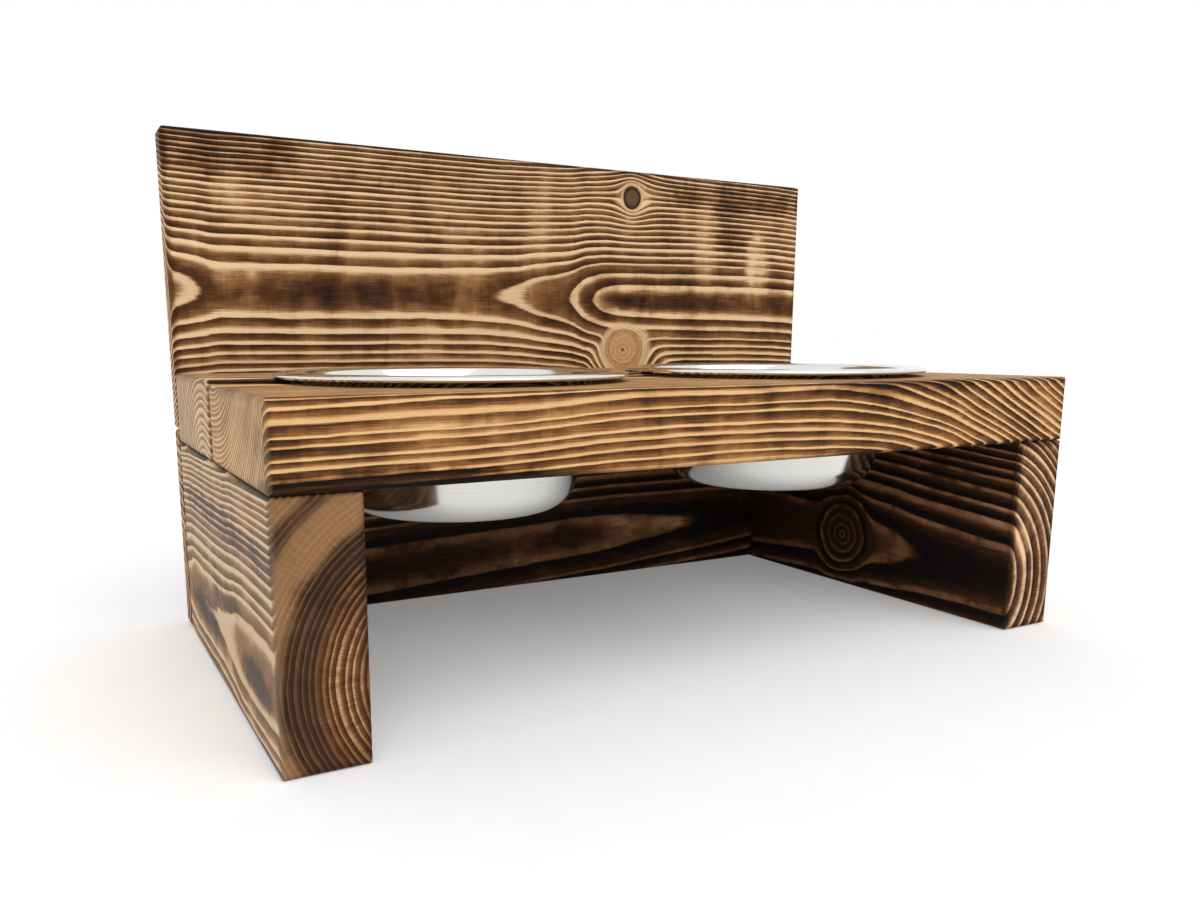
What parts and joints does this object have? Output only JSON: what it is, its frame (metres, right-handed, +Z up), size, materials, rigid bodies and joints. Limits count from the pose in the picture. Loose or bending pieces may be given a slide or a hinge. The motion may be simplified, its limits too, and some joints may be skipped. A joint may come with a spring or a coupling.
{
  "type": "elevated dog feeder",
  "caption": "Raised feeding stand of thick scorched boards with a tall back board, an open storage bay under the top and lift-out steel bowls.",
  "frame": {"origin": "middle of the stand's footprint at floor level: halfway between the ends, and halfway between the front face and the rear of the back boards", "axes": "+X to the right end seen from the open front, +Y towards the back boards, +Z up"},
  "size_m": [0.56, 0.308, 0.348],
  "materials": {
    "leg_wood": "scorched, brushed and oiled softwood, light latewood lines",
    "front_board_wood": "scorched, brushed and oiled softwood, golden and dark brown lines",
    "rear_board_wood": "lightly scorched, brushed softwood",
    "upper_back_wood": "deeply scorched, brushed softwood with knots",
    "lower_back_wood": "deeply scorched, brushed softwood",
    "dowel_beech": "raw fluted hardwood",
    "bowl_steel": "polished stainless sheet, fine spun lines",
    "screw_zinc": "yellow zinc plate"
  },
  "bodies": {
    "stand": {"left_leg": "leg_wood", "right_leg": "leg_wood", "front_top_board": "front_board_wood", "rear_top_board": "rear_board_wood", "upper_back_board": "upper_back_wood", "lower_back_board": "lower_back_wood", "dowel_left_1": "dowel_beech", "dowel_left_2": "dowel_beech", "dowel_left_3": "dowel_beech", "dowel_left_4": "dowel_beech", "dowel_right_1": "dowel_beech", "dowel_right_2": "dowel_beech", "dowel_right_3": "dowel_beech", "dowel_right_4": "dowel_beech", "leg_screw_left_1": "screw_zinc", "leg_screw_left_2": "screw_zinc", "leg_screw_right_1": "screw_zinc", "leg_screw_right_2": "screw_zinc", "back_screw_1": "screw_zinc", "back_screw_2": "screw_zinc", "back_screw_3": "screw_zinc", "back_screw_4": "screw_zinc", "back_screw_5": "screw_zinc"},
    "left_bowl": {"left_bowl": "bowl_steel"},
    "right_bowl": {"right_bowl": "bowl_steel"}
  },
  "joints": [
    {"name": "left_bowl_lift", "type": "slide", "parent": "stand", "child": "left_bowl", "axis": [0, 0, 1], "range_m": [0, 0.12]},
    {"name": "right_bowl_lift", "type": "slide", "parent": "stand", "child": "right_bowl", "axis": [0, 0, 1], "range_m": [0, 0.12]}
  ]
}
